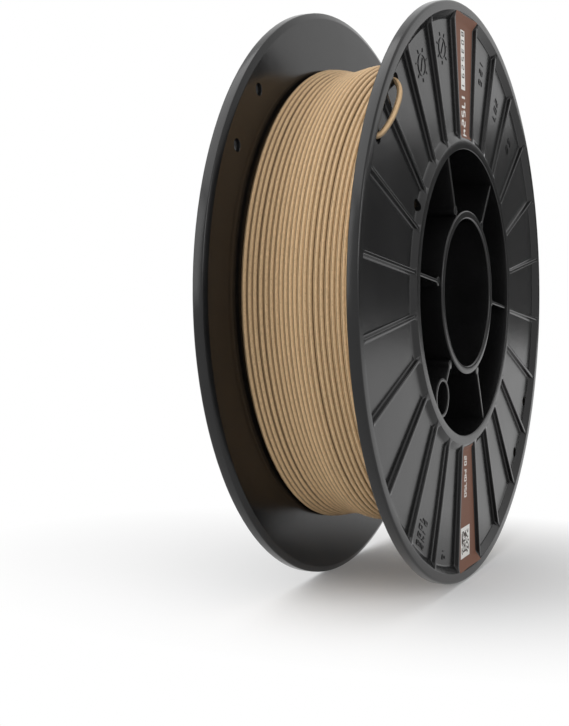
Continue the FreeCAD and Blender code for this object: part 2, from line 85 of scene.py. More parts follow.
class SpoolMoulding(bpy.types.PropertyGroup):
    rim_radius: length("Rim radius", "Outer radius of both flanges", from_frame(FLANGE[1].z))
    half_width: length("Half width", "From mid-width to an outer face", from_frame(FLANGE[1].x))
    winding_face: length("Winding face", "From mid-width to a flange's inner face", 21.85)
    rim_band: length("Rim band", "Width of the rim's round edge", 3.4)
    rim_step: length("Rim step", "How far the inner face stops short of the rim", 2.0)
    lip_width: length("Lip width", "Flat land round the outer face", 3.3)
    collar_radius: length("Collar radius", "Outer radius of the land round the hub", 53.0)
    floor_hub_radius: length("Floor hub radius", "Where a pocket's floor starts", 55.4)
    floor_rim_radius: length("Floor rim radius", "Where a floor meets its sloping end", 94.1)
    pocket_depth_hub: length("Pocket depth at the hub", "Depth of the pockets by the collar", 1.6)
    pocket_depth_rim: length("Pocket depth at the rim", "Depth of the pockets by the rim", 1.9)
    rib_count: bpy.props.IntProperty(name="Rib count", description="Ribs round a flange",
                                     default=24, min=3)
    rib_thickness: length("Rib thickness", "Thickness of a rib at its top", 1.2)
    rib_setback: length("Rib setback", "How far the ribs stay under the outer face", 0.3)
    drum_radius: length("Drum radius", "Outer radius of the drum", from_frame(DRUM[1].z))
    drum_wall: length("Drum wall", "Thickness of the drum's wall", 2.15)
    bore_radius: length("Bore radius", "Radius of the bore", 25.75)
    tube_radius: length("Tube radius", "Outer radius of the bore tube", from_frame(TUBE[1].z))
    web_front: length("Web front", "From mid-width to the webs' outer edges", 25.45)
    web_thickness: length("Web thickness", "Thickness of a web at its outer edge", 1.2)
    column_radius: length("Column radius", "Radius of the columns beside the tube", 1.6)
    column_pitch: length("Column pitch radius", "Radius on which the columns stand", 30.3)
    ring_pitch: length("Drive ring pitch radius", "Radius on which the drive ring stands", 43.6)
    ring_outer: length("Drive ring outer radius", "Outer radius of the drive ring", 6.6)
    ring_inner: length("Drive ring inner radius", "Inner radius of the drive ring", 5.4)
    end_hole_radius: length("End hole radius", "Radius of the holes near the rim", 2.0)
    end_hole_pitch: length("End hole pitch radius", "Radius on which the rim holes lie", 91.8)
    start_hole_radius: length("Start hole radius", "Radius of the hole near the hub", 2.0)
    start_hole_pitch: length("Start hole pitch radius", "Radius on which the hub hole lies", 56.0)


class SpoolStrand(bpy.types.PropertyGroup):
    diameter: length("Diameter", "Diameter of the strand", 1.75)
    crest_radius: length("Crest radius", "Mean outer radius of the winding", 79.5)
    wave: length("Wave", "How far the winding swells and dips", 0.8)
    wave_length: length("Wave length", "From one swelling of the winding to the next", 21.0)
    first_turn: length("First turn", "Place of the first turn along the axis", -20.9)
    last_turn: length("Last turn", "Place of the last turn along the axis", 20.7)
    turns: bpy.props.FloatProperty(name="Turns", description="Turns in the outer layer",
                                   default=24.5, min=1.0)


class SpoolColours(bpy.types.PropertyGroup):
    plastic: colour("Plastic", "Black moulded plastic", (0.0050, 0.0050, 0.0052))
    strand: colour("Strand", "Wood-filled strand", (0.655, 0.45, 0.25))
    strand_speck: colour("Strand specks", "Darker specks in the strand", (0.19, 0.105, 0.045))
    label: colour("Label", "Brown label film", (0.098, 0.048, 0.030))
    ink: colour("Ink", "White print on the labels", (0.78, 0.77, 0.74))
    floor: colour("Floor", "Floor and backdrop", (0.86, 0.86, 0.86))


class SpoolStage(bpy.types.PropertyGroup):
    camera_place: bpy.props.FloatVectorProperty(
        name="Camera place", description="Where the camera stands", size=3, unit="LENGTH",
        default=(153.8 * MM, -402.4 * MM, 4.5 * MM))
    azimuth: bpy.props.FloatProperty(
        name="Azimuth", description="Turn of the view from +Y towards -X", unit="ROTATION",
        default=math.radians(22.64))
    elevation: bpy.props.FloatProperty(
        name="Elevation", description="How far the view looks down", unit="ROTATION",
        default=math.radians(0.93))
    roll: bpy.props.FloatProperty(
        name="Roll", description="Tilt of the view about its own line", unit="ROTATION",
        default=math.radians(-0.46))
    lens: bpy.props.FloatProperty(name="Lens", description="Focal length", default=59.54,
                                  unit="CAMERA")
    shift: bpy.props.FloatVectorProperty(
        name="Shift", description="Lens shift across and up", size=2, default=(-0.108, -0.087))


AXIS = np.array([1.0, 0.0, 0.0])
WEB_ANGLES = [37.5 + 60 * k for k in range(6)]
RING_ANGLE = 217.5
END_HOLE_ANGLES = (300.0, 315.0, 120.0, 135.0)
START_HOLE_ANGLE = 300.0
FLIP_ANGLE = 127.5
WINDING_END_ANGLE = 270.5
UPPER_POCKET = 0.0
LOWER_POCKET = 180.0

# Degrees past which an edge stays sharp
SHARP_ANGLE = 38.0
STRAND_SHARP_ANGLE = 60.0
# Metres under which two points are one, and under which an edge is nothing
SAME_POINT = 1e-7
NO_LENGTH = 1e-8


def around(angle, radius, x):
    """Points at angles clockwise from the top, radii from the axis and places along it."""
    turn = np.radians(angle)
    return np.stack(np.broadcast_arrays(x, radius * np.sin(turn), radius * np.cos(turn)), axis=-1)


def turned_over(points):
    """The same moulding as the other half: half a turn about a line in the middle plane."""
    line = around(FLIP_ANGLE, 1.0, 0.0)
    return 2 * (points @ line)[..., None] * line - points


def rounded_outline(corners):
    """Closed outline in a plane whose corners are arcs.

    Each corner is (along, off, radius, steps, extras). An arc of that radius touches both runs at
    radius / tan(half the corner's angle) from the corner and its points are evenly turned. Extras
    are distances from the corner at which the run after it gets more points. Returns the points and,
    for each, the number of its corner.
    """
    places = np.array([c[:2] for c in corners], float)
    count = len(corners)
    points, owners = [], []
    for i in range(count):
        radius, steps, extras = corners[i][2:]
        corner = places[i]
        if radius:
            back = places[i - 1] - corner
            ahead = places[(i + 1) % count] - corner
            back /= np.linalg.norm(back)
            ahead /= np.linalg.norm(ahead)
            half = math.acos(np.clip(back @ ahead, -1, 1)) / 2
            middle = (back + ahead) / np.linalg.norm(back + ahead)
            centre = corner + middle * radius / math.sin(half)
            first = corner + back * radius / math.tan(half) - centre
            last = corner + ahead * radius / math.tan(half) - centre
            sweep = math.pi - 2 * half
            share = np.linspace(0, 1, steps + 1)[:, None]
            arc = np.sin((1 - share) * sweep) * first + np.sin(share * sweep) * last
            points.append(centre + arc / math.sin(sweep))
            owners += [i] * (steps + 1)
        else:
            points.append(corner[None])
            owners.append(i)
        if extras:
            run = places[(i + 1) % count] - corner
            run /= np.linalg.norm(run)
            points.append(corner + np.array(extras)[:, None] * run)
            owners += [i] * len(extras)
    return np.concatenate(points), np.array(owners)


def grid_faces(rows, columns, wrap_rows, wrap_columns):
    """Four-cornered faces between neighbours in a grid of points numbered row by row."""
    i = np.arange(rows if wrap_rows else rows - 1)[:, None]
    j = np.arange(columns if wrap_columns else columns - 1)[None, :]
    here = i * columns
    below = ((i + 1) % rows) * columns
    beside = (j + 1) % columns
    return np.stack([here + j, here + beside, below + beside, below + j], axis=-1).reshape(-1, 4)


def signed_volume(points, faces):
    """Volume enclosed by four-cornered faces, negative if they point inwards."""
    a, b, c, d = (points[faces[:, k]] for k in range(4))
    both = np.einsum("ij,ij->i", a, np.cross(b, c)) + np.einsum("ij,ij->i", a, np.cross(c, d))
    return both.sum() / 6


def surface(name, points, wrap_rows=True, wrap_columns=True, lengthwise=None, sharp=SHARP_ANGLE):
    """Object made of one grid of points, or a list of grids, with its faces pointing outwards.

    lengthwise, a grid of (along, around) pairs in metres, becomes a UV map for patterns that follow
    the piece. Edges that turn by more than sharp degrees stay sharp.
    """
    grids = points if isinstance(points, list) else [points]
    all_points, all_faces, start = [], [], 0
    for grid in grids:
        rows, columns = grid.shape[:2]
        flat = grid.reshape(-1, 3)
        faces = grid_faces(rows, columns, wrap_rows, wrap_columns)
        if signed_volume(flat, faces) < 0:
            faces = faces[:, ::-1]
        all_points.append(flat)
        all_faces.append(faces + start)
        start += len(flat)
    vertices = np.concatenate(all_points)
    faces = np.concatenate(all_faces)
    corners = faces.ravel()
    mesh = bpy.data.meshes.new(name)
    mesh.vertices.add(len(vertices))
    mesh.vertices.foreach_set("co", vertices.astype(np.float32).ravel())
    mesh.loops.add(len(corners))
    mesh.loops.foreach_set("vertex_index", corners.astype(np.int32))
    mesh.polygons.add(len(faces))
    mesh.polygons.foreach_set("loop_start", np.arange(0, len(corners), 4, dtype=np.int32))
    mesh.update(calc_edges=True)
    if lengthwise is not None:
        layer = mesh.uv_layers.new(name="lengthwise")
        layer.uv.foreach_set("vector", lengthwise.reshape(-1, 2)[corners].astype(np.float32).ravel())
    weld(mesh)
    mesh.polygons.foreach_set("use_smooth", np.ones(len(mesh.polygons), bool))
    mesh.set_sharp_from_angle(angle=math.radians(sharp))
    mesh.validate()
    thing = bpy.data.objects.new(name, mesh)
    bpy.context.scene.collection.objects.link(thing)
    return thing


def weld(mesh):
    """Joins points that coincide, as at poles and closed ends, and drops faces shrunk to nothing."""
    work = bmesh.new()
    work.from_mesh(mesh)
    bmesh.ops.remove_doubles(work, verts=work.verts, dist=SAME_POINT)
    bmesh.ops.dissolve_degenerate(work, edges=work.edges, dist=NO_LENGTH)
    work.to_mesh(mesh)
    work.free()


def dress(thing, material, slot, *nodes):
    """Gives a finished piece its material and its body, and hides the nodes that it stands for. Its
    slot is not used.
    """
    thing.data.materials.clear()
    thing.data.materials.append(material)
    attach(thing, "root")
    if nodes:
        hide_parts(*nodes)
    return thing


def turn_grid(outline, steps):
    """An outline of (along, off) points turned about the X axis: off becomes the radius."""
    angles = np.arange(steps) * 360.0 / steps
    return around(angles[:, None], outline[None, :, 1], outline[None, :, 0])


class Term:
    """A number in a shader: wraps a socket, and Python operators on it add Math nodes."""

    def __init__(self, nodes, socket):
        self.nodes = nodes
        self.socket = socket

    def math(self, operation, *others):
        values = dict(enumerate((self.socket, *others)))
        return self.nodes.add("ShaderNodeMath", {"operation": operation}, values)

    def __add__(self, other):
        return self.math("ADD", other)

    def __mul__(self, other):
        return self.math("MULTIPLY", other)

    def __sub__(self, other):
        return self.math("SUBTRACT", other)

    def __rsub__(self, other):
        return self * -1.0 + other

    def above(self, low, high):
        """0 below low, 1 above high, and a straight ramp between."""
        return self.nodes.add("ShaderNodeMapRange", {"clamp": True}, {0: self, 1: low, 2: high})

    __radd__ = __add__
    __rmul__ = __mul__


class Nodes:
    """A node tree, to which expressions on its sockets add."""

    def __init__(self, tree):
        self.tree = tree

    def feed(self, socket, value):
        """Links a socket to a term or another socket, or sets it to a number or a colour."""
        if isinstance(value, Term):
            self.tree.links.new(value.socket, socket)
        elif isinstance(value, bpy.types.NodeSocket):
            self.tree.links.new(value, socket)
        elif hasattr(value, "__len__") and len(value) == 3 and socket.type == "RGBA":
            socket.default_value = (*value, 1.0)
        else:
            socket.default_value = value

    def add(self, kind, choices, values, output=0):
        """Makes a node: its choices are set first, then its sockets get values or links."""
        node = self.tree.nodes.new(kind)
        for key, choice in choices.items():
            setattr(node, key, choice)
        for key, value in values.items():
            self.feed(node.inputs[key], value)
        return Term(self, node.outputs[output])


class Finish(Nodes):
    """A material whose surface is one Principled shader."""

    def __init__(self, name, **constants):
        self.material = bpy.data.materials.new(name)
        self.material.use_nodes = True
        super().__init__(self.material.node_tree)
        self.shader = self.tree.nodes["Principled BSDF"]
        self.set(**constants)

    def set(self, **values):
        """Sets the shader's sockets by name, with underscores for spaces."""
        for key, value in values.items():
            self.feed(self.shader.inputs[key.replace("_", " ")], value)

    def place(self, scale=(1.0, 1.0, 1.0), uv=None):
        """Object coordinates, or a UV map's, stretched by scale."""
        if uv:
            source = self.add("ShaderNodeUVMap", {"uv_map": uv}, {})
        else:
            source = self.add("ShaderNodeTexCoord", {}, {}, output=3)
        return self.add("ShaderNodeMapping", {}, {"Vector": source, "Scale": scale})

    def noise(self, size, detail=3.0, roughness=0.5, place=None):
        """Noise whose patches are about size metres across."""
        values = {"Scale": 1.0 / size, "Detail": detail, "Roughness": roughness}
        values["Vector"] = place or self.place()
        return self.add("ShaderNodeTexNoise", {"noise_dimensions": "3D"}, values)

    def blend(self, share, first, second):
        """Mixes two colours by a share."""
        values = {0: share, 6: first, 7: second}
        return self.add("ShaderNodeMix", {"data_type": "RGBA"}, values, output=2)

    def bump(self, height, distance, strength):
        """Roughens the surface by a height, one unit of which is distance metres."""
        values = {"Strength": strength, "Distance": distance, "Height": height}
        self.set(Normal=self.add("ShaderNodeBump", {}, values))


def shade(rgb, factor, lift=0.0):
    """A colour made lighter or darker by a factor, then lifted."""
    return [min(1.0, c * factor + lift) for c in rgb]


def black_plastic():
    """Satin moulded plastic: a fine even grain, faint cloudiness in the gloss and a trace of dust."""
    tint = bpy.context.scene.spool_colours.plastic
    finish = Finish("black_plastic", Specular_IOR_Level=0.32)
    cloud = finish.noise(0.018, detail=4.0)
    grain = finish.noise(0.00035, detail=2.0)
    dust = finish.noise(0.0011, detail=5.0, roughness=0.7).above(0.62, 0.80)
    clouded = finish.blend(cloud.above(0.35, 0.7), shade(tint, 1.0), shade(tint, 1.35, 0.001))
    finish.set(Base_Color=finish.blend(dust * 0.35, clouded, shade(tint, 1.0, 0.025)))
    finish.set(Roughness=cloud * 0.10 + grain * 0.04 + dust * 0.10 + 0.12)
    finish.bump(grain + cloud * 6.0, 0.00002, 0.6)
    return finish.material


def wood_strand():
    """Matt wood-filled strand: pale and brown fibres, dark specks, and painted shade on the sides
    between the turns.

    The cosine of the way round the strand, 1 on its outer side, says where the sides are.
    """
    colours = bpy.context.scene.spool_colours
    strand_width = bpy.context.scene.spool_strand.diameter
    tint = colours.strand
    finish = Finish("wood_strand", Specular_IOR_Level=0.35)
    along = finish.place(scale=(0.35, 1.0, 1.0), uv="lengthwise")
    fibres = finish.noise(0.00045, detail=3.0, place=along)
    specks = finish.noise(0.00038, detail=2.0, roughness=0.6, place=along).above(0.66, 0.72)
    patches = finish.noise(0.012, detail=3.0)
    lengths = finish.add("ShaderNodeUVMap", {"uv_map": "lengthwise"}, {})
    round_it = finish.add("ShaderNodeSeparateXYZ", {}, {0: lengths}, output=1)
    outward = (round_it * (2.0 / strand_width)).math("COSINE")
    skin = finish.blend(fibres.above(0.3, 0.7), shade(tint, 0.80), shade(tint, 1.16))
    worn = finish.blend(patches.above(0.3, 0.75) * 0.45, skin, shade(tint, 1.0))
    speckled = finish.blend(specks * 0.75, worn, shade(colours.strand_speck, 1.0))
    # Painted shade: where the strand turns away from the outside, towards its neighbours and the drum,
    # its colour falls to a third
    finish.set(Base_Color=finish.blend(outward.above(0.0, 0.72), shade(tint, 0.34), speckled))
    finish.set(Roughness=fibres * 0.18 + 0.52)
    finish.bump(fibres + specks * -0.6, 0.00005, 0.5)
    return finish.material


def label_film():
    """Printed film: brown ink under a satin varnish, with a faint paper grain and rubbed patches."""
    tint = bpy.context.scene.spool_colours.label
    finish = Finish("label_film", Specular_IOR_Level=0.5, Coat_Roughness=0.08)
    grain = finish.noise(0.0004, detail=3.0)
    patches = finish.noise(0.006, detail=4.0)
    rubbed = patches.above(0.4, 0.75) * 0.5 + grain * 0.1
    finish.set(Base_Color=finish.blend(rubbed, shade(tint, 1.0), shade(tint, 1.5)))
    finish.set(Roughness=patches * 0.10 + 0.16, Coat_Weight=grain * 0.1 + 0.6)
    finish.bump(grain, 0.00001, 0.5)
    return finish.material


def label_ink():
    """White print that lets a little of the film through where it is thin."""
    tint = bpy.context.scene.spool_colours.ink
    finish = Finish("label_ink", Specular_IOR_Level=0.4)
    thin = finish.noise(0.0005, detail=4.0).above(0.52, 0.78)
    finish.set(Base_Color=finish.blend(thin * 0.35, shade(tint, 1.0), shade(tint, 0.62)))
    finish.set(Roughness=thin * 0.2 + 0.42)
    return finish.material


def label_dark_ink():
    """Dark print over the white, a little worn."""
    tint = bpy.context.scene.spool_colours.label
    finish = Finish("label_dark_ink", Specular_IOR_Level=0.4)
    worn = finish.noise(0.0006, detail=3.0).above(0.45, 0.75)
    finish.set(Base_Color=finish.blend(worn * 0.5, shade(tint, 0.25), shade(tint, 0.7)))
    finish.set(Roughness=worn * 0.15 + 0.45)
    return finish.material


def material(name):
    """The material of that name, made the first time it is asked for."""
    makers = {"black_plastic": black_plastic, "wood_strand": wood_strand, "label_film": label_film,
              "label_ink": label_ink, "label_dark_ink": label_dark_ink}
    return bpy.data.materials.get(name) or makers[name]()


# A rib's section
RIB_EDGE_RADIUS = 0.22 * MM
RIB_FOOT_RADIUS = 0.45 * MM
RIB_DRAFT = 0.06 * MM
FADE_HEIGHT = 0.8 * MM
QUARTER_TURN = np.radians([0, 30, 60, 90])
FLOOR_SHARES = np.array([0.06, 0.25, 0.55, 1.0])

# A half's section: how round its edges and feet are, and where its long runs get more points
POCKET_CORNER = 1.3 * MM
DRUM_EDGE = 0.25 * MM
COLLAR_EDGE = 0.3 * MM
HUB_FOOT = 2.6 * MM
RIM_FOOT = 1.6 * MM
LIP_EDGE = 0.35 * MM
RIM_EDGE = 0.8 * MM
RIM_BACK_EDGE = 0.5 * MM
DRUM_FOOT = 0.3 * MM
FLOOR_ROWS = np.array([0.12, 0.25, 0.4, 0.55, 0.7, 0.85, 0.95])
FACE_ROWS = (6 * MM, 14 * MM, 24 * MM, 36 * MM)
DRUM_ROW_INSET = 0.5 * MM


def pocket_columns(sizes):
    """Columns across half a pocket, from a rib's middle to the pocket's middle.

    Each has its distance off the rib's centre line, whether it follows the pocket's rounded corner,
    its drop under the rib's top or rise over the floor, and how far it lies from the rib's foot to
    the middle.
    """
    half = sizes.rib_thickness / 2
    foot = half + RIB_DRAFT
    top, bend, floor = 2, len(QUARTER_TURN), len(FLOOR_SHARES)
    off = np.concatenate([[0.0, (half - RIB_EDGE_RADIUS) / 2],
                          half - RIB_EDGE_RADIUS + RIB_EDGE_RADIUS * np.sin(QUARTER_TURN),
                          foot + RIB_FOOT_RADIUS * (1 - np.cos(QUARTER_TURN)),
                          np.full(floor, foot + RIB_FOOT_RADIUS)])
    drop = np.concatenate([np.zeros(top), RIB_EDGE_RADIUS * (1 - np.cos(QUARTER_TURN)),
                           np.full(bend + floor, np.nan)])
    rise = np.concatenate([np.full(top + bend, np.nan), RIB_FOOT_RADIUS * (1 - np.sin(QUARTER_TURN)),
                           np.zeros(floor)])
    follows = np.concatenate([np.zeros(top), np.ones(2 * bend + floor)])
    inward = np.concatenate([np.zeros(top + 2 * bend), FLOOR_SHARES])
    return off, follows, drop, rise, inward


def half_pocket(sizes, columns, radius, floor, inside, corner):
    """Angles in radians from the rib's centre line, and places along the axis, as rows and columns.

    The rib has parallel sides, so a point d off its centre line at radius r lies asin(d / r) round.
    Its height is floor + H - drop on the rib and floor + rise at its foot, where H is how far the
    rib's top stands over the floor. Drop and rise fade out where H gets small.
    """
    off, follows, drop, rise, inward = (c[None, :] for c in columns)
    radius, floor, inside, corner = (v[:, None] for v in (radius, floor, inside, corner))
    half_angle = math.pi / sizes.rib_count
    top = sizes.half_width - sizes.rib_setback
    tall = np.maximum(0.0, top - floor) * inside
    fade = np.minimum(1.0, tall / FADE_HEIGHT)
    on_rib = tall - np.nan_to_num(drop) * fade
    x = floor + np.where(np.isnan(drop), np.nan_to_num(rise) * fade, on_rib)
    angle = np.arcsin((off + corner * follows) / radius)
    return angle + (half_angle - angle) * inward, x


def moulding_outline(sizes):
    """Section of one half, as radius and place: drum wall, collar, pocket, lip, rim, winding face.

    Also says which rows lie in the pocket, and how much its rounded corner draws in there.
    """
    face = sizes.half_width
    back = sizes.winding_face
    inner = sizes.drum_radius - sizes.drum_wall
    lip = sizes.rim_radius - sizes.lip_width
    floor_rows = tuple((sizes.floor_rim_radius - sizes.floor_hub_radius) * FLOOR_ROWS)
    corners = [
        (face, inner, DRUM_EDGE, 3, ()),
        (face, sizes.collar_radius, COLLAR_EDGE, 3, ()),
        (face - sizes.pocket_depth_hub, sizes.floor_hub_radius, HUB_FOOT, 6, floor_rows),
        (face - sizes.pocket_depth_rim, sizes.floor_rim_radius, RIM_FOOT, 6, ()),
        (face, lip, LIP_EDGE, 4, ()),
        (face, sizes.rim_radius, RIM_EDGE, 6, ()),
        (face - sizes.rim_band, sizes.rim_radius, RIM_BACK_EDGE, 4, ()),
        (back, sizes.rim_radius - sizes.rim_step, RIM_BACK_EDGE, 4, FACE_ROWS),
        (back, sizes.drum_radius, DRUM_FOOT, 3, ((back - DRUM_ROW_INSET) / 2,)),
        (0.0, sizes.drum_radius, 0.0, 0, ()),
        (0.0, inner, 0.0, 0, (face / 2,)),
    ]
    points, owners = rounded_outline(corners)
    inside = ((owners >= 1) & (owners <= 4)).astype(float)
    from_wall = np.clip(points[:, 1] - sizes.collar_radius, 0, POCKET_CORNER)
    corner = POCKET_CORNER - np.sqrt(POCKET_CORNER ** 2 - (POCKET_CORNER - from_wall) ** 2)
    return points[:, 1], points[:, 0], inside, np.where(owners <= 3, corner, 0.0)


def moulding_grid(sizes):
    """One half as a closed grid: the section's rows go round drum and flange, pocket after pocket."""
    radius, floor, inside, corner = moulding_outline(sizes)
    angle, x = half_pocket(sizes, pocket_columns(sizes), radius, floor, inside, corner)
    half_angle = math.pi / sizes.rib_count
    left = angle - half_angle
    angles = np.concatenate([left, -left[:, -2:0:-1]], axis=1)
    places = np.concatenate([x, x[:, -2:0:-1]], axis=1)
    pockets = np.arange(sizes.rib_count) * 2 * half_angle
    all_angles = (pockets[None, :, None] + angles[:, None, :]).reshape(len(radius), -1)
    all_places = np.tile(places, (1, sizes.rib_count))
    return around(np.degrees(all_angles), radius[:, None], all_places)


HOLE_STEPS = 40
HOLE_FLARE = 0.1 * MM
HOLE_FLARE_DEPTH = 0.2 * MM
TOOL_REACH = 1 * MM


def hole_cutter(sizes, angle, pitch, radius):
    """A hole's tool: a round bar along the axis, a little wider where it leaves the winding face."""
    low = sizes.winding_face
    high = sizes.half_width + TOOL_REACH
    wide = radius + HOLE_FLARE
    outline = np.array([(low - TOOL_REACH, 0), (low - TOOL_REACH, wide), (low, wide),
                        (low + HOLE_FLARE_DEPTH, radius), (high, radius), (high, 0)])
    return turn_grid(outline, HOLE_STEPS) + around(angle, pitch, 0.0)


def cut(thing, tools):
    """Takes the tools' shapes away from a piece and removes them."""
    cutter = surface(thing.name + "_tools", tools, wrap_columns=False)
    modifier = thing.modifiers.new("holes", "BOOLEAN")
    modifier.object = cutter
    modifier.operation = "DIFFERENCE"
    modifier.solver = "EXACT"
    shown = thing.evaluated_get(bpy.context.evaluated_depsgraph_get())
    mesh = bpy.data.meshes.new_from_object(shown)
    thing.modifiers.clear()
    thing.data = mesh
    mesh.name = thing.name
    mesh.set_sharp_from_angle(angle=math.radians(SHARP_ANGLE))
    bpy.data.objects.remove(cutter)


def plastic_halves(kind, grids, *nodes, tools=(), wrap_rows=True):
    """A plastic piece of each half from the front half's grids, less the tools' shapes."""
    for side, move in (("front", lambda points: points), ("rear", turned_over)):
        piece = surface(f"{side}_{kind}", [move(grid) for grid in grids], wrap_rows=wrap_rows)
        if tools:
            cut(piece, [move(tool) for tool in tools])
        dress(piece, material("black_plastic"), "spool_plastic", *(f"{side}_{n}" for n in nodes))


class SPOOL_OT_mouldings(bpy.types.Operator):
    """Flange, collar and drum wall of each half, as one ribbed moulding with its holes"""
    bl_idname = "spool.mouldings"
    bl_label = "Mouldings"

    def execute(self, context):
        sizes = context.scene.spool_moulding
        places = [(angle, sizes.end_hole_pitch, sizes.end_hole_radius) for angle in END_HOLE_ANGLES]
        places.append((START_HOLE_ANGLE, sizes.start_hole_pitch, sizes.start_hole_radius))
        holes = [hole_cutter(sizes, *place) for place in places]
        plastic_halves("moulding", [moulding_grid(sizes)], "flange", "drum", tools=holes)
        return {"FINISHED"}


TUBE_BORE_EDGE = 0.6 * MM
TUBE_OUTER_EDGE = 0.5 * MM
TUBE_STEPS = 160


class SPOOL_OT_bore_tubes(bpy.types.Operator):
    """Wall of the bore in each half, with rounded outer edges"""
    bl_idname = "spool.bore_tubes"
    bl_label = "Bore tubes"

    def execute(self, context):
        sizes = context.scene.spool_moulding
        outline, _ = rounded_outline([
            (0.0, sizes.bore_radius, 0.0, 0, ()),
            (sizes.half_width, sizes.bore_radius, TUBE_BORE_EDGE, 4, ()),
            (sizes.half_width, sizes.tube_radius, TUBE_OUTER_EDGE, 4, ()),
            (0.0, sizes.tube_radius, 0.0, 0, ()),
        ])
        plastic_halves("tube", [turn_grid(outline, TUBE_STEPS)], "bore_tube")
        return {"FINISHED"}


WEB_SINK = 0.3 * MM
WEB_EDGE = 0.25 * MM
WEB_SWELL = 0.2
COLUMN_REACH = 5 * MM
COLUMN_ROWS = 16
PLAIN_START = 6.5 * MM
PLAIN_ROWS = 6


def web_grid(sizes, angle, outer_end):
    """A web with its column: rings round its plan, narrowing over a rounded edge to a closed ridge.

    Half its thickness t off the axis is (half**4 + column**4) ** (1 / 4), where column is the half
    width of the column's circle there, and it grows by a fifth from the outer edge to mid-width.
    """
    start = sizes.tube_radius - WEB_SINK
    along = np.concatenate([np.linspace(start, start + COLUMN_REACH, COLUMN_ROWS),
                            np.linspace(start + PLAIN_START, outer_end, PLAIN_ROWS)])
    circle = np.sqrt(np.maximum(0.0, sizes.column_radius ** 2 - (along - sizes.column_pitch) ** 2))
    half = ((sizes.web_thickness / 2) ** 4 + circle ** 4) ** 0.25
    x = np.concatenate([[0.0, 0.0, sizes.web_front / 2],
                        sizes.web_front - WEB_EDGE + WEB_EDGE * np.sin(QUARTER_TURN),
                        [sizes.web_front]])
    narrowing = np.concatenate([[1.0, 0.0, 0.0], WEB_EDGE * (1 - np.cos(QUARTER_TURN)), [1.0]])
    swell = 1 + WEB_SWELL - WEB_SWELL * x / sizes.web_front
    width = np.maximum(0.0, half[None, :] * swell[:, None] - narrowing[:, None])
    width[[0, -1]] = 0.0
    plan_along = np.concatenate([along, along[::-1]])
    plan_across = np.concatenate([width, -width[:, ::-1]], axis=1)
    out = around(angle, 1.0, 0.0)
    side = around(angle + 90, 1.0, 0.0)
    return plan_along[None, :, None] * out + plan_across[..., None] * side + x[:, None, None] * AXIS


class SPOOL_OT_webs(bpy.types.Operator):
    """Six webs with their columns between tube and drum in each half"""
    bl_idname = "spool.webs"
    bl_label = "Webs"

    def execute(self, context):
        sizes = context.scene.spool_moulding
        inner = sizes.drum_radius - sizes.drum_wall
        ring_side = sizes.ring_pitch - sizes.ring_outer
        grids = [web_grid(sizes, angle, (ring_side if angle == RING_ANGLE else inner) + WEB_SINK)
                 for angle in WEB_ANGLES]
        plastic_halves("web_set", grids, "webs", wrap_rows=False)
        return {"FINISHED"}


RING_EDGE = 0.3 * MM
RING_STEPS = 56


class SPOOL_OT_drive_rings(bpy.types.Operator):
    """Ring for a drive pin in each half, with rounded outer edges"""
    bl_idname = "spool.drive_rings"
    bl_label = "Drive rings"

    def execute(self, context):
        sizes = context.scene.spool_moulding
        outline, _ = rounded_outline([
            (0.0, sizes.ring_inner, 0.0, 0, ()),
            (sizes.web_front, sizes.ring_inner, RING_EDGE, 3, ()),
            (sizes.web_front, sizes.ring_outer, RING_EDGE, 3, ()),
            (0.0, sizes.ring_outer, 0.0, 0, ()),
        ])
        grid = turn_grid(outline, RING_STEPS) + around(RING_ANGLE, sizes.ring_pitch, 0.0)
        plastic_halves("pin_ring", [grid], "drive_ring")
        return {"FINISHED"}


def tube_grid(path, outward, radius, sides):
    """Round tube along a path: rings square to it, with flat closed ends.

    Each ring is path + radius * (cos t * n + sin t * b), where n is outward made square to the path
    and b is square to both. Returns the points and their (along, around) lengths.
    """
    tangent = np.gradient(path, axis=0)
    tangent /= np.linalg.norm(tangent, axis=1)[:, None]
    normal = outward - np.sum(outward * tangent, axis=1)[:, None] * tangent
    normal /= np.linalg.norm(normal, axis=1)[:, None]
    across = np.cross(tangent, normal)
    turn = np.linspace(0, 2 * math.pi, sides, endpoint=False)
    cosine, sine = np.cos(turn)[None, :, None], np.sin(turn)[None, :, None]
    spokes = cosine * normal[:, None] + sine * across[:, None]
    wide = np.full(len(path), radius)
    path = np.concatenate([path[:1], path, path[-1:]])
    spokes = np.concatenate([spokes[:1], spokes, spokes[-1:]])
    wide = np.concatenate([[0.0], wide, [0.0]])
    run = np.concatenate([[0.0], np.cumsum(np.linalg.norm(np.diff(path, axis=0), axis=1))])
    points = path[:, None] + wide[:, None, None] * spokes
    lengthwise = np.stack(np.broadcast_arrays(run[:, None], turn[None] * radius), axis=-1)
    return points, lengthwise


def strand_piece(name, path, outward, sides, *nodes):
    """A run of strand along a path, with the directions that face outwards from the spool on it."""
    radius = bpy.context.scene.spool_strand.diameter / 2
    points, lengthwise = tube_grid(path, outward, radius, sides)
    piece = surface(name, points, wrap_rows=False, lengthwise=lengthwise, sharp=STRAND_SHARP_ANGLE)
    dress(piece, material("wood_strand"), "strand", *nodes)


def winding_radius(strand, x):
    """Outer radius of the winding: it swells and dips along the drum."""
    return strand.crest_radius + strand.wave * np.cos(2 * math.pi * x / strand.wave_length)


# Waves in how the turns lie, along the axis and off it: size, waves in a turn, drift in radians a turn
SWAY = ((0.05 * MM, 1.0, 2.4), (0.03 * MM, 2.0, -1.3))
HEAVE = ((0.05 * MM, 0.5, 1.9), (0.04 * MM, 3.0, 0.7))
STEPS_IN_TURN = 96


def uneven(waves, turn, lap):
    """Sum of size * sin(times * turn + drift * lap) over rows of (size, times, drift)."""
    return sum(size * np.sin(times * turn + drift * lap) for size, times, drift in waves)


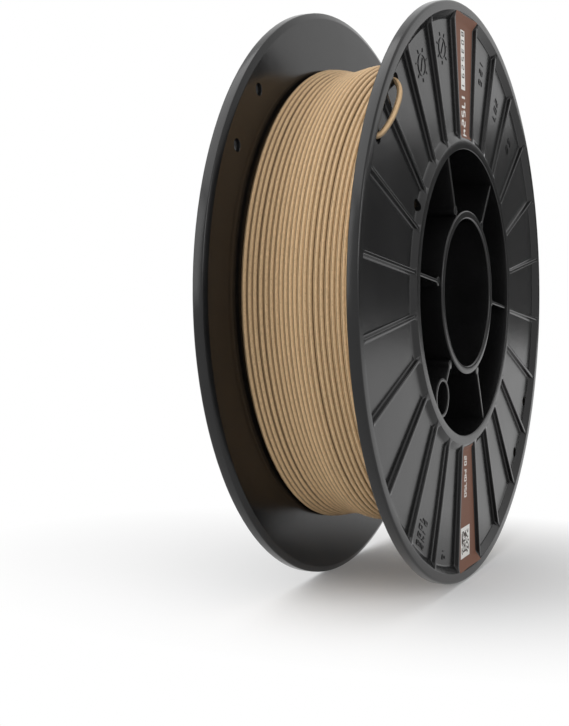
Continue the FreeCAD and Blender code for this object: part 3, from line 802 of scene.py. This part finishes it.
def wound_path(strand, first, last, turns, depth):
    """Centre line of one layer of turns, depth under the outer layer's, and its outward directions.

    The angle grows evenly, the place along the axis moves from first to last with it, and small sine
    waves in both make the turns lie as unevenly as wound ones do. The waves fade out in the last
    half turn at either end.
    """
    share = np.linspace(0, 1, round(turns * STEPS_IN_TURN) + 1)
    angle = WINDING_END_ANGLE + 360.0 * turns * (share - 1)
    turn = np.radians(angle)
    lap = share * turns
    ends = np.clip(np.minimum(lap, turns - lap) * 2, 0, 1)
    x = first + (last - first) * share + uneven(SWAY, turn, lap) * ends
    radius = winding_radius(strand, x) - strand.diameter / 2 - depth + uneven(HEAVE, turn, lap) * ends
    return around(angle, radius, x), around(angle, 1.0, 0.0)


OUTER_SIDES = 10
LOWER_SIDES = 8
END_SIDES = 16
LOWER_START_INSET = 0.1 * MM
LOWER_END_INSET = 1.0 * MM
CORE_END_GAP = 0.15 * MM
CORE_DRUM_GAP = 0.1 * MM
CORE_ROWS = 60
CORE_STEPS = 128


class SPOOL_OT_winding(bpy.types.Operator):
    """Outer layer of the strand, the layer under it and the core that carries both"""
    bl_idname = "spool.winding"
    bl_label = "Winding"

    def execute(self, context):
        strand = context.scene.spool_strand
        sizes = context.scene.spool_moulding
        under = strand.diameter * math.sqrt(3) / 2
        path = wound_path(strand, strand.first_turn, strand.last_turn, strand.turns, 0.0)
        strand_piece("outer_turns", *path, OUTER_SIDES, "filament_outer_turns")
        path = wound_path(strand, -strand.first_turn - LOWER_START_INSET,
                          strand.first_turn + LOWER_END_INSET, strand.turns - 1, under)
        strand_piece("lower_turns", *path, LOWER_SIDES)
        end = sizes.winding_face - CORE_END_GAP
        x = np.linspace(-end, end, CORE_ROWS)
        crest = np.stack([x, winding_radius(strand, x) - under - strand.diameter / 2], axis=1)
        inner = sizes.drum_radius + CORE_DRUM_GAP
        outline = np.concatenate([[(-end, inner)], crest, [(end, inner)]])
        way_round = np.linspace(0, 2 * math.pi * strand.crest_radius, CORE_STEPS)
        # The second coordinate, the place along the axis, also drives the strand material's painted
        # shade, which falls in rings round the core
        lengths = np.stack(np.broadcast_arrays(way_round[:, None], outline[None, :, 0]), axis=-1)
        core = surface("wound_core", turn_grid(outline, CORE_STEPS), lengthwise=lengths)
        dress(core, material("wood_strand"), "strand", "filament_inner_layers")
        return {"FINISHED"}


def smooth_route(points, steps=12):
    """Catmull-Rom curve through points: each span is a cubic that shares slopes with its neighbours."""
    points = np.array(points, float)
    padded = np.concatenate([2 * points[:1] - points[1:2], points, 2 * points[-1:] - points[-2:-1]])
    share = np.linspace(0, 1, steps, endpoint=False)[None, :, None]
    a, b, c, d = (padded[k:k + len(points) - 1][:, None] for k in range(4))
    curve = 0.5 * (2 * b + (c - a) * share + (2 * a - 5 * b + 4 * c - d) * share ** 2
                   + (3 * b - a - 3 * c + d) * share ** 3)
    return np.concatenate([curve.reshape(-1, 3), points[-1:]])


# The loop's route: millimetres from the exit hole towards the return hole, and along the axis
LOOP = ((1.2, 21.2), (0.3, 22.9), (1.6, 25.1), (6.8, 26.8), (11.8, 27.3), (16.4, 27.2), (20.0, 26.3),
        (22.8, 24.6), (23.9, 22.6), (23.9, 19.4))
LOOP_ANGLE = 307.5
# The last run to the exit hole: shares of the way there, and of its sag towards mid-width
LAST_RUN = ((0.0, 0.0), (0.25, 0.5), (0.5, 1.0), (0.75, 1.0), (0.93, 0.6))
LAST_RUN_SAG = 0.4 * MM


class SPOOL_OT_strand_end(bpy.types.Operator):
    """End of the strand: off the last turn, out through one hole, over a rib and back in"""
    bl_idname = "spool.strand_end"
    bl_label = "Strand end"

    def execute(self, context):
        strand = context.scene.spool_strand
        sizes = context.scene.spool_moulding
        leave_radius = float(winding_radius(strand, strand.last_turn)) - strand.diameter / 2
        leave = around(WINDING_END_ANGLE, leave_radius, strand.last_turn)
        exit_hole, return_hole = (around(angle, sizes.end_hole_pitch, 0.0)
                                  for angle in END_HOLE_ANGLES[:2])
        way = (return_hole - exit_hole) / np.linalg.norm(return_hole - exit_hole)
        loop = [exit_hole + way * u * MM + AXIS * x * MM for u, x in LOOP]
        run = [leave + (loop[0] - leave) * share - AXIS * LAST_RUN_SAG * sag
               for share, sag in LAST_RUN]
        path = smooth_route(run + loop)
        outward = np.tile(around(LOOP_ANGLE, 1.0, 0.0), (len(path), 1))
        strand_piece("looped_end", path, outward, END_SIDES, "filament_end")
        return {"FINISHED"}


def pocket_profile(sizes):
    """Radii and places along the axis of a pocket's floor and its sloping ends, radii growing."""
    radius, place, inside, _ = moulding_outline(sizes)
    lip = sizes.rim_radius - sizes.lip_width
    rows = (inside > 0) & (radius > sizes.collar_radius) & (radius < lip)
    order = np.argsort(radius[rows])
    return radius[rows][order], place[rows][order]


def on_pocket(sizes, pocket, across, along, lift):
    """Points in a pocket: across its centre line, along it from the spool's axis, and over its floor.

    A point lies at along * out + across * side, where out and side are the pocket's own directions.
    Its place on the axis is the floor's at its distance from the axis, plus lift.
    """
    radii, places = pocket_profile(sizes)
    across, along, lift = np.broadcast_arrays(across, along, lift)
    out = around(pocket, 1.0, 0.0)
    side = around(pocket + 90, 1.0, 0.0)
    x = np.interp(np.hypot(across, along), radii, places) + lift
    return along[..., None] * out + across[..., None] * side + x[..., None] * AXIS


# A label's rows lie close together where the pocket's ends bend it
LABEL_ROWS = np.concatenate([[53.7], np.linspace(54.0, 57.5, 8), np.linspace(60, 91, 12),
                             np.linspace(92, 96.1, 10), [96.3]]) * MM
LABEL_COLUMNS = 13
LABEL_GAP = 0.35 * MM
FILM_BACK = 0.03 * MM
FILM_FRONT = 0.10 * MM
WHITE_FRONT = FILM_FRONT + 0.015 * MM
DARK_FRONT = WHITE_FRONT + 0.015 * MM


def label_grid(sizes, pocket):
    """Film over a whole pocket, up to a gap from the ribs: across its front and back underneath."""
    half_angle = math.pi / sizes.rib_count
    clear = sizes.rib_thickness / 2 + LABEL_GAP
    half_width = LABEL_ROWS * math.tan(half_angle) - clear / math.cos(half_angle)
    share = np.linspace(-1, 1, LABEL_COLUMNS)
    across = half_width[:, None] * np.concatenate([share, share[::-1]])
    lift = np.full(across.shape, FILM_BACK)
    lift[1:-1, :LABEL_COLUMNS] = FILM_FRONT
    return on_pocket(sizes, pocket, across, LABEL_ROWS[:, None], lift)


STROKE_TOP = 0.75


def strokes(sizes, pocket, lines, half_width, base, top):
    """Raised straight strokes in a pocket, each a bar whose top is narrower than its foot.

    Lines are (across, along, across, along) rows in millimetres off and along the pocket's centre
    line.
    """
    grids = []
    for line in np.asarray(lines, float) * MM:
        start, end = line[:2], line[2:]
        way = (end - start) / np.linalg.norm(end - start)
        aside = np.array([-way[1], way[0]])
        ends = np.stack([start, start, end, end])
        wide = np.array([0.0, half_width, half_width, 0.0])[:, None]
        spread = np.array([-1.0, 1.0, STROKE_TOP, -STROKE_TOP])[None]
        flat = ends[:, None] + (wide * spread)[..., None] * aside
        lift = np.array([base, base, top, top])[None] * np.ones((4, 1))
        grids.append(on_pocket(sizes, pocket, flat[..., 0], flat[..., 1], lift))
    return grids


def raised(name, rows, base, top, finish, slot):
    """One piece of strokes that stand from base to top over their pockets' floors.

    Rows are (pocket's angle, lines, half a stroke's width in millimetres).
    """
    sizes = bpy.context.scene.spool_moulding
    grids = []
    for pocket, lines, half_width in rows:
        grids += strokes(sizes, pocket, lines, half_width * MM, base, top)
    dress(surface(name, grids, wrap_rows=False), material(finish), slot)


# Bars of a digit in a box one wide and two high, as (u, v, u, v): top, upper right, lower right,
# foot, lower left, upper left, middle
BARS = ((0, 2, 1, 2), (1, 2, 1, 1), (1, 1, 1, 0), (0, 0, 1, 0), (0, 0, 0, 1), (0, 1, 0, 2),
        (0, 1, 1, 1))
# Numbers of the bars in each digit from 0 to 9
DIGITS = ("012345", "12", "01643", "01236", "5612", "05623", "056234", "012", "0123456", "012356")


def digits(number, place, size, step, way=-1):
    """Lines of a row of digits along a pocket, inwards from the first one's place if way is -1.

    A bar's end at (u, v) in its digit's box lands at across = place - way * size * (v - 1) and
    along = start + way * size * u, where start moves on by a step from digit to digit.
    """
    lines = []
    across, along = place
    for count, digit in enumerate(number):
        start = along + way * step * count
        for bar in DIGITS[int(digit)]:
            u0, v0, u1, v1 = BARS[int(bar)]
            lines.append((across - way * size * (v0 - 1), start + way * size * u0,
                          across - way * size * (v1 - 1), start + way * size * u1))
    return lines


PATTERN_WAVES = (12.9898, 78.233)
PATTERN_GAIN = 43758.5453


def block_pattern(centre, cell, count):
    """Short bars in a square grid, kept where the fraction of a large sine is over a half."""
    i, j = np.meshgrid(np.arange(count), np.arange(count), indexing="ij")
    kept = (np.sin(i * PATTERN_WAVES[0] + j * PATTERN_WAVES[1]) * PATTERN_GAIN) % 1 > 0.5
    across = centre[0] + (i[kept] - count / 2 + 0.5) * cell
    along = centre[1] + (j[kept] - count / 2 + 0.5) * cell
    return np.stack([across, along - cell / 2, across, along + cell / 2], axis=1)


DIAL_CHORDS = 14
DIAL_POINTER = (-0.45, 0.5)
DIAL_SPOKES = (1.25, 1.6)


def dial(centre, radius):
    """Lines of a ring of chords with a pointer across it and spokes round it, as on a date dial.

    The pointer and the spokes run between shares of the radius.
    """
    turn = np.linspace(0, 2 * math.pi, DIAL_CHORDS + 1)
    middle = np.array(centre)
    way = radius * np.stack([np.cos(turn), np.sin(turn)], axis=1)
    ring = np.hstack([middle + way[:-1], middle + way[1:]])
    pointer = [np.concatenate([middle + radius * share for share in DIAL_POINTER])]
    spokes = np.hstack([middle + way[::2] * share for share in DIAL_SPOKES])
    return np.concatenate([ring, pointer, spokes])


LABEL_POCKETS = {"upper": UPPER_POCKET, "lower": LOWER_POCKET}
WHITE_PRINT = (
    (UPPER_POCKET, [(0.1, 91.6, 0.1, 70.8)], 2.2),
    (UPPER_POCKET, digits("17524", (0.1, 69.9), 1.75, 3.3), 0.42),
    (LOWER_POCKET, digits("20140750", (0.4, 57.6), 1.15, 1.85, way=1), 0.24),
    (LOWER_POCKET, [(0.6, 82.2, 0.6, 93.0)], 5.0),
)
DARK_PRINT = (
    (UPPER_POCKET, digits("8035291", (0.1, 90.9), 1.2, 2.9), 0.22),
    (LOWER_POCKET, block_pattern((0.6, 87.6), 0.62, 13), 0.31),
)


class SPOOL_OT_labels(bpy.types.Operator):
    """Two film labels that cover their pockets' floors, with plain numbers and blocks in print"""
    bl_idname = "spool.labels"
    bl_label = "Labels"

    def execute(self, context):
        sizes = context.scene.spool_moulding
        for side, pocket in LABEL_POCKETS.items():
            label = surface(side + "_film", label_grid(sizes, pocket), wrap_rows=False)
            dress(label, material("label_film"), "label_film", side + "_label")
        raised("white_print", WHITE_PRINT, FILM_FRONT, WHITE_FRONT, "label_ink", "label_film")
        raised("dark_print", DARK_PRINT, WHITE_FRONT, DARK_FRONT, "label_dark_ink", "label_film")
        return {"FINISHED"}


MARK_SINK = 0.02 * MM
MARK_HEIGHT = 0.22 * MM
MARK_WIDTH = 0.22
MARKS = (
    (-30.0, dial((0.0, 84.0), 3.4), MARK_WIDTH),
    (-15.0, dial((0.0, 84.5), 3.4), MARK_WIDTH),
    (15.0, digits("125", (0.5, 88.0), 1.6, 4.0), MARK_WIDTH),
    (30.0, digits("207", (0.5, 84.0), 1.6, 3.4), MARK_WIDTH),
    (45.0, digits("50", (0.5, 84.0), 1.6, 4.4), MARK_WIDTH),
    (210.0, digits("3142", (-1.0, 83.5), 1.3, 2.6, way=1), MARK_WIDTH),
    (210.0, digits("7085", (3.0, 83.5), 1.3, 2.6, way=1), MARK_WIDTH),
    (195.0, digits("18", (0.5, 88.0), 1.3, 2.6, way=1), MARK_WIDTH),
)


class SPOOL_OT_marks(bpy.types.Operator):
    """Small raised dials and plain numbers moulded on some pockets' floors"""
    bl_idname = "spool.marks"
    bl_label = "Moulded marks"

    def execute(self, context):
        raised("moulded_marks", MARKS, -MARK_SINK, MARK_HEIGHT, "black_plastic", "spool_plastic")
        return {"FINISHED"}


# Outputs of Light Path: camera, glossy and transmission rays
SEEN_BY = (0, 3, 6)
WORLD_LIGHT = 0.45
FLOOR_REACH = 30.0
FLOOR_GAP = 0.05 * MM
SHADOW_SPOT = (0.1, 0.15)
SHADOW_STRETCH = (0.6, 1.0, 1.0)
SHADOW_WHITENESS = 0.1
CARD_LOW = Vector((-0.1, 1.5, -0.2))
CARD_HIGH = Vector((1.9, 1.5, 0.26))
# Lamps: name, place, what it faces, width in metres and power in watts
LAMPS = (
    ("overhead", Vector((-0.35, -0.45, 1.15)), Vector((0.0, 0.05, -0.1)), 1.5, 14.0),
    ("right_window", Vector((1.05, -0.35, 0.35)), Vector((0.0, 0.0, 0.0)), 0.5, 3.0),
    ("left_fill", Vector((-0.9, -1.0, 0.35)), Vector((0.0, 0.0, 0.0)), 0.8, 5.0),
)


def seen(nodes):
    """1 for rays that show the stage, from the camera, gloss or glass, and 0 for those that light."""
    camera, gloss, glass = (nodes.add("ShaderNodeLightPath", {}, {}, output=n) for n in SEEN_BY)
    return (camera + gloss + glass).above(0.0, 1.0)


def stage_plane(scene, name, corners, finish):
    """A flat four-cornered piece of the stage."""
    mesh = bpy.data.meshes.new(name)
    mesh.from_pydata(corners, [], [(0, 1, 2, 3)])
    mesh.materials.append(finish.material)
    plane = bpy.data.objects.new(name, mesh)
    scene.collection.objects.link(plane)
    return plane


class SPOOL_OT_stage(bpy.types.Operator):
    """Camera, floor, backdrop and soft lamps"""
    bl_idname = "spool.stage"
    bl_label = "Stage"

    def execute(self, context):
        scene = context.scene
        scene.view_settings.view_transform = "Standard"
        self.camera(scene)
        self.floor(scene)
        self.world(scene)
        for lamp in LAMPS:
            self.lamp(scene, *lamp)
        self.card(scene)
        return {"FINISHED"}

    def camera(self, scene):
        stage = scene.spool_stage
        data = bpy.data.cameras.new("view")
        data.lens = stage.lens
        data.shift_x, data.shift_y = stage.shift
        data.clip_start = 0.01
        camera = bpy.data.objects.new("view", data)
        scene.collection.objects.link(camera)
        level = Euler((math.pi / 2 - stage.elevation, 0, stage.azimuth)).to_matrix()
        turn = level @ Euler((0, 0, stage.roll)).to_matrix()
        camera.matrix_world = Matrix.Translation(stage.camera_place) @ turn.to_4x4()
        scene.camera = camera

    def lamp(self, scene, name, place, aim, size, power):
        data = bpy.data.lights.new(name, "AREA")
        data.shape = "SQUARE"
        data.size = size
        data.energy = power
        lamp = bpy.data.objects.new(name, data)
        lamp.location = place
        lamp.rotation_euler = (place - aim).to_track_quat("Z", "Y").to_euler()
        scene.collection.objects.link(lamp)

    def card(self, scene):
        """Dark card beyond the spool's right side, which only the gloss on its front face shows."""
        low, high = CARD_LOW, CARD_HIGH
        corners = [low, (high.x, low.y, low.z), high, (low.x, low.y, high.z)]
        finish = Finish("dark_card", Base_Color=(0.12, 0.12, 0.12), Roughness=0.9)
        card = stage_plane(scene, "dark_card", corners, finish)
        card.visible_camera = False
        card.visible_diffuse = False
        card.visible_shadow = False

    def floor(self, scene):
        """White floor that keeps the shadow in a spot under the spool and glows beyond it."""
        finish = Finish("floor", Roughness=0.9, Specular_IOR_Level=0.1)
        finish.set(Base_Color=scene.spool_colours.floor)
        glow = {"Color": (1.0, 1.0, 1.0), "Strength": 1.0}
        white = finish.add("ShaderNodeEmission", {}, glow)
        place = finish.place(scale=SHADOW_STRETCH)
        spot = finish.add("ShaderNodeVectorMath", {"operation": "LENGTH"}, {0: place}, output=1)
        share = spot.above(*SHADOW_SPOT) * (1 - SHADOW_WHITENESS) + SHADOW_WHITENESS
        sources = {0: seen(finish) * share, 1: finish.shader.outputs[0], 2: white}
        pale = finish.add("ShaderNodeMixShader", {}, sources)
        finish.feed(finish.tree.nodes["Material Output"].inputs["Surface"], pale)
        reach, z = FLOOR_REACH, -scene.spool_moulding.rim_radius - FLOOR_GAP
        corners = [(-reach, -reach, z), (reach, -reach, z), (reach, reach, z), (-reach, reach, z)]
        stage_plane(scene, "floor", corners, finish)

    def world(self, scene):
        """Grey light all round that looks white to the rays that show it."""
        world = bpy.data.worlds.new("studio")
        world.use_nodes = True
        nodes = Nodes(world.node_tree)
        back = nodes.tree.nodes["Background"]
        nodes.feed(back.inputs["Color"], (1.0, 1.0, 1.0))
        nodes.feed(back.inputs["Strength"], seen(nodes) * (1 - WORLD_LIGHT) + WORLD_LIGHT)
        scene.world = world


STEPS = (
    SPOOL_OT_stage,
    SPOOL_OT_mouldings,
    SPOOL_OT_bore_tubes,
    SPOOL_OT_webs,
    SPOOL_OT_drive_rings,
    SPOOL_OT_winding,
    SPOOL_OT_strand_end,
    SPOOL_OT_labels,
    SPOOL_OT_marks,
)


class SPOOL_PT_panel(bpy.types.Panel):
    """Lists the steps that build the spool"""
    bl_idname = "SPOOL_PT_panel"
    bl_label = "Filament spool"
    bl_space_type = "VIEW_3D"
    bl_region_type = "UI"
    bl_category = "Spool"

    def draw(self, context):
        for step in STEPS:
            self.layout.operator(step.bl_idname)


GROUPS = {
    "spool_moulding": SpoolMoulding,
    "spool_strand": SpoolStrand,
    "spool_colours": SpoolColours,
    "spool_stage": SpoolStage,
}


def register():
    for group in GROUPS.values():
        bpy.utils.register_class(group)
    for name, group in GROUPS.items():
        setattr(bpy.types.Scene, name, bpy.props.PointerProperty(type=group))
    for step in STEPS + (SPOOL_PT_panel,):
        bpy.utils.register_class(step)


def unregister():
    for step in STEPS + (SPOOL_PT_panel,):
        bpy.utils.unregister_class(step)
    for name, group in GROUPS.items():
        delattr(bpy.types.Scene, name)
        bpy.utils.unregister_class(group)


def main():
    register()
    for step in STEPS:
        group, name = step.bl_idname.split(".")
        getattr(getattr(bpy.ops, group), name)()


if __name__ == "__main__":
    main()
